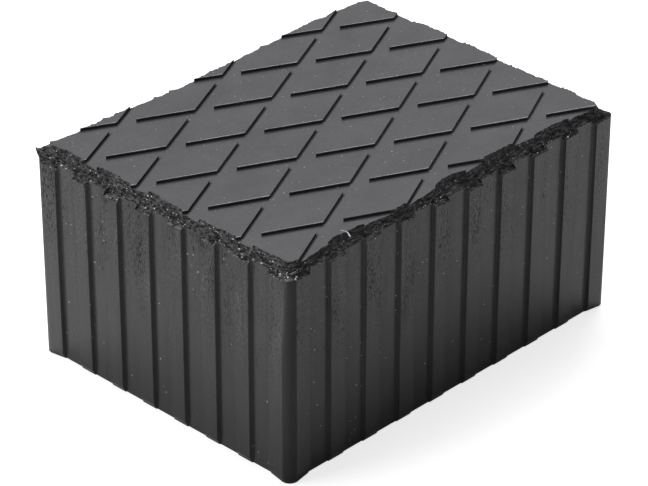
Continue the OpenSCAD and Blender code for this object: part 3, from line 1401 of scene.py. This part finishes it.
def make_grain(name: str) -> bpy.types.NodeTree:
    """Fine uneven grain, from 0 to about 1.

    Args:
        name: Name of the group.

    Returns:
        The group.
    """
    sheet = EffectSheet(name, "Height", size=0.6 * MM)
    scale = sheet.scale_of("Size")
    soft = sheet.noise(sheet.vector, scale, detail=4.0, roughness=0.65).outputs[0]
    cells = sheet.voronoi(sheet.vector, sheet.math("MULTIPLY", scale, 1.6)).outputs["Distance"]
    return sheet.finish(sheet.math("ADD", soft, sheet.math("MULTIPLY", cells, 0.3)))


EFFECT_MAKERS: dict[Effect, Callable[[str], bpy.types.NodeTree]] = {
    Effect.MOTTLE: make_mottle,
    Effect.STREAKS: make_streaks,
    Effect.SPECKS: make_specks,
    Effect.PITS: make_pits,
    Effect.GRAIN: make_grain,
}


def start_material(name: str) -> tuple[bpy.types.Material, Sheet, bpy.types.Node, Socket]:
    """Starts a material with a Principled shader.

    Args:
        name: Name of the material.

    Returns:
        The material, its sheet, the shader node and the Object coordinates.
    """
    material = bpy.data.materials.new(name)
    material.use_nodes = True
    material.node_tree.nodes.clear()
    sheet = Sheet(material.node_tree)
    shader = sheet.add("ShaderNodeBsdfPrincipled")
    sheet.add("ShaderNodeOutputMaterial", {"Surface": shader.outputs[0]})
    place = sheet.add("ShaderNodeTexCoord").outputs["Object"]
    return material, sheet, shader, place


@dataclass(frozen=True)
class MouldedRubber:
    """Rubber as it came out of the mould: cloudy, faintly streaked, pitted and dusty.

    It is calmer below calm_below than above lively_above. Left of worn_until, which is on the left
    wall, it has more pits and scuffs, and between near_until and far_from it is painted paler, as painted light on
    the walls' far ends.
    """

    name: str
    dark: Colour
    pale: Colour
    dust: Colour = (0.50, 0.50, 0.49)
    # near-black colour of the pits: dirt in them and painted shade in their hollows
    pit_dirt_and_shade: Colour = (0.006, 0.006, 0.006)
    pit_cover: float = 0.8
    pit_gloss: float = 0.35
    pit_depth: float = 1.5
    scuff_colour: Colour = (0.18, 0.18, 0.175)
    scuff_size: float = 0.45 * MM
    scuff_offset: Triple = (0.31, 0.17, 0.0)
    smooth: float = 0.20
    rough: float = 0.28
    gloss: float = 0.5
    gloss_play: float = 0.35
    fine_size: float = 0.8 * MM
    fine_share: float = 0.5
    mottle_size: float = 12 * MM
    streak_size: float = 1.5 * MM
    streak_share: float = 0.5
    pit_share: float = 0.4
    scuff_share: float = 0.0
    calm_below: float = 20 * MM
    lively_above: float = 62 * MM
    calm_share: float = 0.4
    worn_until: float = -78.2 * MM
    worn_fade: float = 0.5 * MM
    worn_share: float = 0.0
    # lift of the colour towards the walls' far ends: painted light
    far_light: float = 0.0
    near_until: float = -60 * MM
    far_from: float = 10 * MM
    speck_spacing: float = 4 * MM
    speck_share: float = 0.5
    speck_size: float = 0.1
    grain_size: float = 0.6 * MM
    grain_depth: float = 0.02 * MM

    def material(self) -> bpy.types.Material:
        """Builds the finish.

        Returns:
            The new material.
        """
        material, sheet, shader, place = start_material(self.name)
        axes = sheet.axes(place)
        worn = sheet.remap(axes[0], self.worn_until, self.worn_until + self.worn_fade, self.worn_share, 0.0)
        pits = Effect.PITS.place(sheet, place, share=sheet.math("ADD", worn, self.pit_share))
        aside = sheet.vector_math("ADD", place, self.scuff_offset)
        scuffs = Effect.PITS.place(sheet, aside, size=self.scuff_size,
                                   share=sheet.math("ADD", worn, self.scuff_share))
        specks = Effect.SPECKS.place(sheet, place, spacing=self.speck_spacing, share=self.speck_share,
                                     size=self.speck_size, cluster=self.speck_share)
        tone = self._tone(sheet, place, axes[2])
        colour = self._base_colour(sheet, tone, sheet.math("ADD", axes[0], axes[1]))
        colour = sheet.blend(scuffs, colour, self.scuff_colour)
        # Pits are painted near-black: dirt in them and painted shade in their hollows.
        colour = sheet.blend(sheet.math("MULTIPLY", pits, self.pit_cover), colour, self.pit_dirt_and_shade)
        sheet.feed(shader.inputs["Base Color"], sheet.blend(specks, colour, self.dust))
        sheet.feed(shader.inputs["Roughness"], sheet.remap(tone, 0.0, 1.0, self.rough, self.smooth))
        shine = sheet.remap(tone, 0.0, 1.0, self.gloss * (1 - self.gloss_play), self.gloss * (1 + self.gloss_play))
        kept = sheet.remap(pits, 0.0, 1.0, 1.0, self.pit_gloss)
        sheet.feed(shader.inputs["Specular IOR Level"], sheet.math("MULTIPLY", shine, kept))
        grain = Effect.GRAIN.place(sheet, place, size=self.grain_size)
        height = sheet.math("SUBTRACT", grain, sheet.math("MULTIPLY", pits, self.pit_depth))
        sheet.feed(shader.inputs["Normal"], sheet.bump(height, self.grain_depth))
        return material

    def _tone(self, sheet: Sheet, place: Socket, height: Socket) -> Socket:
        """Mixes clouds, streaks and fine mottling, calmer low down than high up.

        Args:
            sheet: The material's nodes.
            place: Object coordinates.
            height: Their Z.

        Returns:
            The tone, from 0 where it is dark to 1 where it is pale.
        """
        mottle = Effect.MOTTLE.place(sheet, place, size=self.mottle_size)
        streaks = Effect.STREAKS.place(sheet, place, size=self.streak_size)
        fine = Effect.MOTTLE.place(sheet, place, size=self.fine_size)
        tone = sheet.mix(self.fine_share, sheet.mix(self.streak_share, mottle, streaks), fine)
        lively = sheet.remap(height, self.calm_below, self.lively_above, self.calm_share, 1.0)
        return sheet.math("ADD", sheet.math("MULTIPLY", sheet.math("SUBTRACT", tone, 0.5), lively), 0.5)

    def _base_colour(self, sheet: Sheet, tone: Socket, far: Socket) -> Socket:
        """Colours the tone and lifts it a little towards the far ends of the walls, as painted light.

        Args:
            sheet: The material's nodes.
            tone: The tone, from 0 to 1.
            far: Sum of X and Y, which grows away from the near corner.

        Returns:
            The colour without scuffs, pits and specks.
        """
        colour = sheet.blend(tone, self.dark, self.pale)
        # painted light: paler towards the walls' far ends
        lift = sheet.remap(far, self.near_until, self.far_from, 1.0, 1 + self.far_light)
        return sheet.add("ShaderNodeVectorMath", {0: colour, 3: lift}, operation="SCALE").outputs[0]


@dataclass(frozen=True)
class TornRubber:
    """Rubber where it tore: black, layered along the rim and crumbly, with painted glints.

    It is painted lighter, glossier and more specked on the left wall, as far as a mark on it, which is painted
    light where the slope faces the lamps, and painted darker from a mark a little further on, which is painted
    shade. Below line_height it is painted darker still, as painted shade of the slope above it.
    """

    name: str
    dark: Colour
    pale: Colour
    grain_colour: Colour = (0.24, 0.24, 0.24)
    # white of the specks painted as glints: a painted highlight
    glint: Colour = (0.90, 0.90, 0.90)
    smooth: float = 0.3
    rough: float = 0.6
    gloss: float = 0.13
    # lighter and glossier on the left wall, darker further on: painted light and shade
    lit_left_gloss: float = 0.16
    shaded_from: float = -70 * MM
    lit_left_from: float = -79 * MM
    shaded_share: float = 0.44
    shaded_specks: float = 0.55
    line_height: float = 75.2 * MM
    lit_height: float = 77.8 * MM
    line_share: float = 0.5
    crumb_size: float = 0.5 * MM
    crumb_depth: float = 0.12 * MM
    layer_size: float = 1.7 * MM
    layer_flatness: float = 3.2
    layer_depth: float = 0.16 * MM
    grain_spacing: float = 1.2 * MM
    grain_share: float = 0.55
    grain_size: float = 0.34
    glint_spacing: float = 1.3 * MM
    glint_share: float = 0.5
    glint_size: float = 0.27
    speck_flatness: float = 2.0

    def material(self) -> bpy.types.Material:
        """Builds the finish.

        Returns:
            The new material.
        """
        material, sheet, shader, place = start_material(self.name)
        axes = sheet.axes(place)
        flat = sheet.vector_math("MULTIPLY", place, (1.0, 1.0, self.layer_flatness))
        layers = Effect.MOTTLE.place(sheet, flat, size=self.layer_size)
        # Painted light on the left wall, painted shade further on, and painted shade below the slope.
        lit_left = sheet.remap(axes[0], self.lit_left_from, self.shaded_from, 1.0, self.shaded_share)
        upper = sheet.remap(axes[2], self.line_height, self.lit_height, self.line_share, 1.0)
        lit = sheet.math("MAXIMUM", lit_left, upper)
        tone = sheet.math("MULTIPLY", sheet.math("MULTIPLY", sheet.remap(layers, 0.3, 0.8), lit_left), lit)
        colour = self._specked(sheet, sheet.blend(tone, self.dark, self.pale), place, axes[0])
        sheet.feed(shader.inputs["Base Color"], colour)
        sheet.feed(shader.inputs["Roughness"], sheet.remap(layers, 0.0, 1.0, self.rough, self.smooth))
        shine = sheet.remap(lit_left, self.shaded_share, 1.0, self.gloss, self.lit_left_gloss)
        sheet.feed(shader.inputs["Specular IOR Level"], sheet.math("MULTIPLY", shine, lit))
        crumbs = Effect.GRAIN.place(sheet, place, size=self.crumb_size)
        normal = sheet.bump(crumbs, self.crumb_depth, sheet.bump(layers, self.layer_depth))
        sheet.feed(shader.inputs["Normal"], normal)
        return material

    def _specked(self, sheet: Sheet, colour: Socket, place: Socket, across: Socket) -> Socket:
        """Adds grey grains and white specks painted as glints, a painted highlight, most of them on the left wall,
        where the slope is painted as lit.

        Args:
            sheet: The material's nodes.
            colour: The torn rubber's own colour.
            place: Object coordinates.
            across: Their X.

        Returns:
            The specked colour.
        """
        # More grains and painted glints on the left wall, where the slope is painted as lit.
        specked = sheet.remap(across, self.lit_left_from, self.shaded_from, 1.0, self.shaded_specks)
        dashes = sheet.vector_math("MULTIPLY", place, (1.0, 1.0, self.speck_flatness))
        grain_share = sheet.math("MULTIPLY", specked, self.grain_share)
        grains = Effect.SPECKS.place(sheet, dashes, spacing=self.grain_spacing, size=self.grain_size,
                                     share=grain_share)
        glint_share = sheet.math("MULTIPLY", sheet.math("MULTIPLY", specked, specked), self.glint_share)
        glints = Effect.SPECKS.place(sheet, dashes, spacing=self.glint_spacing, size=self.glint_size,
                                     share=glint_share)
        return sheet.blend(glints, sheet.blend(grains, colour, self.grain_colour), self.glint)


FINISHES: dict[Skin, MouldedRubber | TornRubber] = {
    Skin.WALL: MouldedRubber("wall_rubber", dark=(0.036, 0.036, 0.036), pale=(0.122, 0.122, 0.121),
                             fine_share=0.6, streak_share=0.75, pit_share=0.53, scuff_share=0.44, far_light=0.42,
                             worn_share=0.045, speck_spacing=2.4 * MM, speck_share=0.36, speck_size=0.12,
                             grain_depth=0.03 * MM),
    # painted shade: a darker, duller copy of the wall rubber on the near corner, the groove mouths and the sole's
    # rim
    Skin.EASED: MouldedRubber("eased_painted_shade", dark=(0.038, 0.038, 0.038), pale=(0.052, 0.052, 0.052),
                              smooth=0.30, rough=0.42, gloss=0.22, speck_spacing=3.2 * MM, speck_share=0.2),
    Skin.TREAD: MouldedRubber("tread_rubber", dark=(0.022, 0.021, 0.028), pale=(0.042, 0.041, 0.050),
                              gloss=0.43, mottle_size=16 * MM, streak_share=0.15, pit_share=0.1,
                              grain_depth=0.014 * MM, speck_spacing=1.8 * MM, speck_share=0.28),
    Skin.TORN: TornRubber("torn_rubber", dark=(0.004, 0.004, 0.004), pale=(0.16, 0.16, 0.166)),
    Skin.SOLE: MouldedRubber("sole_rubber", dark=(0.020, 0.020, 0.020), pale=(0.036, 0.036, 0.035),
                             streak_share=0.0, speck_share=0.6),
    # painted light: the groove floors' copy of the wall rubber, with lifted darks and a stronger lift at the far
    # ends
    Skin.GROOVE: MouldedRubber("groove_painted_light", dark=(0.052, 0.052, 0.052), pale=(0.104, 0.104, 0.103),
                               streak_share=0.65, pit_share=0.42, scuff_share=0.36, far_light=0.60,
                               worn_share=0.045, speck_spacing=2.4 * MM, speck_share=0.36, speck_size=0.13,
                               grain_depth=0.03 * MM),
    # painted light: the groove sides' paler copy of the wall rubber
    Skin.SIDE: MouldedRubber("side_painted_light", dark=(0.090, 0.090, 0.090), pale=(0.140, 0.140, 0.138),
                             streak_share=0.65, pit_share=0.35, speck_share=0.2),
    # painted shade: a near-black strip of tread along the pads' right near sides
    Skin.FOOT: MouldedRubber("foot_painted_shade", dark=(0.008, 0.008, 0.009), pale=(0.014, 0.014, 0.015),
                             smooth=0.45, rough=0.6, gloss=0.10, streak_share=0.0, pit_share=0.0,
                             speck_share=0.2),
    # dust and painted highlight: a pale strip along the pads' left near edges
    Skin.DUSTY: MouldedRubber("dust_and_highlight", dark=(0.022, 0.021, 0.026), pale=(0.42, 0.42, 0.43),
                              fine_size=0.7 * MM, mottle_size=9 * MM, streak_share=0.0, pit_share=0.0,
                              speck_spacing=1.1 * MM, speck_share=0.5, speck_size=0.2),
}
DARK_CRUMB = TornRubber("dark_crumb", dark=(0.010, 0.010, 0.010), pale=(0.040, 0.040, 0.040),
                        crumb_depth=0.1 * MM)
PALE_CRUMB = TornRubber("pale_crumb", dark=(0.7, 0.7, 0.7), pale=(0.92, 0.92, 0.91),
                        crumb_depth=0.1 * MM, grain_share=0.0)
THREAD: tuple[Triple, ...] = (
    (-50.0 * MM, -53.4 * MM, 80.96 * MM),
    (-49.6 * MM, -54.6 * MM, 80.96 * MM),
    (-49.2 * MM, -55.3 * MM, 80.96 * MM),
    (-49.6 * MM, -56.6 * MM, 80.96 * MM),
    (-50.2 * MM, -57.5 * MM, 80.90 * MM),
    (-50.4 * MM, -58.2 * MM, 80.70 * MM),
)


# Studio


@dataclass(frozen=True)
class SoftBox:
    """A square area lamp that looks at the block."""

    name: str
    place: Triple
    size: float
    level: float
    colour: Colour = (1.0, 1.0, 1.0)
    aim: Triple = (0.0, 0.0, 40 * MM)

    def build(self) -> bpy.types.Object:
        """Sets the lamp up.

        The level is the brightness that a white surface would show at the aim, facing the lamp.

        Returns:
            The lamp's object.
        """
        way = Vector(self.aim) - Vector(self.place)
        data = bpy.data.lights.new(self.name, "AREA")
        data.shape = "SQUARE"
        data.size = self.size
        data.color = self.colour
        data.energy = self.level * math.pi ** 2 * way.length_squared
        lamp = bpy.data.objects.new(self.name, data)
        lamp.location = self.place
        lamp.rotation_euler = way.to_track_quat("-Z", "Y").to_euler()
        bpy.context.scene.collection.objects.link(lamp)
        return lamp


@dataclass(frozen=True)
class Studio:
    """A pale floor, a white surround and soft lamps."""

    floor_size: float = 12.0
    floor_colour: Colour = (0.86, 0.86, 0.86)
    floor_glow: float = 0.75
    ambient: float = 0.06
    drop: float = 0.05 * MM
    lamps: tuple[SoftBox, ...] = (
        SoftBox("high_box", (0.636, 0.636, 1.599), size=1.2, level=0.72),
        SoftBox("back_box", (0.0, 1.418, 1.148), size=1.2, level=0.08),
        SoftBox("back_left_box", (-1.228, 0.709, 1.148), size=0.9, level=0.32),
    )

    def build(self) -> None:
        """Builds the floor, the surround and the lamps."""
        self._build_floor()
        self._build_surround()
        for lamp in self.lamps:
            lamp.build()
        bpy.context.scene.view_settings.view_transform = "Standard"

    @staticmethod
    def _seen(sheet: Sheet) -> Socket:
        """Tells the rays on which the surround is looked at from those by which it lights the block.

        Args:
            sheet: The world's nodes.

        Returns:
            1 for rays from the camera, from gloss and through glass, and 0 for others.
        """
        rays = sheet.add("ShaderNodeLightPath").outputs
        either = sheet.math("MAXIMUM", rays["Is Camera Ray"], rays["Is Glossy Ray"])
        return sheet.math("MAXIMUM", either, rays["Is Transmission Ray"])

    def _build_floor(self) -> None:
        """Builds the floor, which glows a little where it is seen and keeps the block's shadow."""
        bm = bmesh.new()
        bmesh.ops.create_grid(bm, x_segments=1, y_segments=1, size=self.floor_size / 2,
                              matrix=Matrix.Translation(-UP * self.drop))
        material, sheet, shader, _ = start_material("pale_floor")
        shader.inputs["Base Color"].default_value = (*self.floor_colour, 1.0)
        shader.inputs["Roughness"].default_value = 0.9
        shader.inputs["Specular IOR Level"].default_value = 0.0
        shader.inputs["Emission Color"].default_value = (1.0, 1.0, 1.0, 1.0)
        looked_at = sheet.add("ShaderNodeLightPath").outputs["Is Camera Ray"]
        sheet.feed(shader.inputs["Emission Strength"], sheet.math("MULTIPLY", looked_at, self.floor_glow))
        as_object("studio_floor", bm, [material])

    def _build_surround(self) -> None:
        """Builds the surround: white where it is seen, softer as a light."""
        world = bpy.data.worlds.new("studio_surround")
        world.use_nodes = True
        world.node_tree.nodes.clear()
        sheet = Sheet(world.node_tree)
        strength = sheet.remap(self._seen(sheet), 0.0, 1.0, self.ambient, 1.0)
        glow = sheet.add("ShaderNodeBackground", {"Color": (1.0, 1.0, 1.0, 1.0), "Strength": strength})
        sheet.add("ShaderNodeOutputWorld", {"Surface": glow.outputs[0]})
        bpy.context.scene.world = world


@dataclass(frozen=True)
class PhotoCamera:
    """The camera that took the reference view, in the frame's own axes."""

    azimuth: float = math.radians(-136.038)
    elevation: float = math.radians(29.909)
    roll: float = math.radians(0.128)
    distance: float = 1.061917
    target_height: float = 40 * MM
    focal_px: float = 3068.8
    centre_px: tuple[float, float] = (328.6, 227.3)
    image_px: tuple[int, int] = (648, 486)
    sensor: float = 36.0

    def build(self) -> bpy.types.Object:
        """Sets the camera up and makes it the scene's.

        Returns:
            The camera's object.
        """
        level, rise = math.cos(self.elevation), math.sin(self.elevation)
        back = Vector((level * math.cos(self.azimuth), level * math.sin(self.azimuth), rise))
        right = UP.cross(back).normalized()
        top = back.cross(right)
        axis_x = right * math.cos(self.roll) + top * math.sin(self.roll)
        axis_y = top * math.cos(self.roll) - right * math.sin(self.roll)
        data = bpy.data.cameras.new("photo_camera")
        wide, tall = self.image_px
        data.sensor_width = self.sensor
        data.lens = self.focal_px * self.sensor / wide
        data.shift_x = (wide / 2 - self.centre_px[0]) / wide
        data.shift_y = (self.centre_px[1] - tall / 2) / wide
        camera = bpy.data.objects.new("photo_camera", data)
        turn = Matrix((axis_x, axis_y, back)).transposed().to_4x4()
        camera.matrix_world = Matrix.Translation(UP * self.target_height + back * self.distance) @ turn
        bpy.context.scene.collection.objects.link(camera)
        bpy.context.scene.camera = camera
        return camera


def fit_to_frame(piece: bpy.types.Object) -> None:
    """Lets a finished piece ride on the block's body and report itself.

    Args:
        piece: The finished piece.
    """
    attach(piece, BODY)
    LOG.info("%s: %d faces, rides on %s", piece.name, len(piece.data.polygons), BODY)


def main() -> None:
    """Builds the block, its crumbs and the studio, in order."""
    logging.basicConfig(level=logging.INFO, format="%(name)s: %(message)s")
    low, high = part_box(NODE)
    PhotoCamera().build()
    Studio().build()
    block = MouldedBlock(length=high.x - low.x, width=high.y - low.y, height=high.z - low.z)
    piece = block.build([FINISHES[skin].material() for skin in Skin])
    fit_to_frame(piece)
    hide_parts(NODE)
    dark = Crumbs("torn_crumbs", count=900, least=0.16 * MM, most=0.42 * MM, seed=11)
    fit_to_frame(dark.build(block.rim, DARK_CRUMB.material()))
    white = PALE_CRUMB.material()
    pale = Crumbs("pale_crumbs", count=70, least=0.12 * MM, most=0.26 * MM, seed=23)
    fit_to_frame(pale.build(block.rim, white))
    flecks = Crumbs("corner_flecks", count=14, least=0.3 * MM, most=0.75 * MM, seed=5,
                    heart=(low.x + 1.8 * MM, low.y + 2.4 * MM), reach=3.7 * MM, sunk=0.25)
    fit_to_frame(flecks.build(block.rim, white))
    fit_to_frame(Lint("stray_thread", THREAD, high.z).build(white))
    fit_to_frame(TreadDust("tread_dust").build(block.tread, white))


if __name__ == "__main__":
    main()
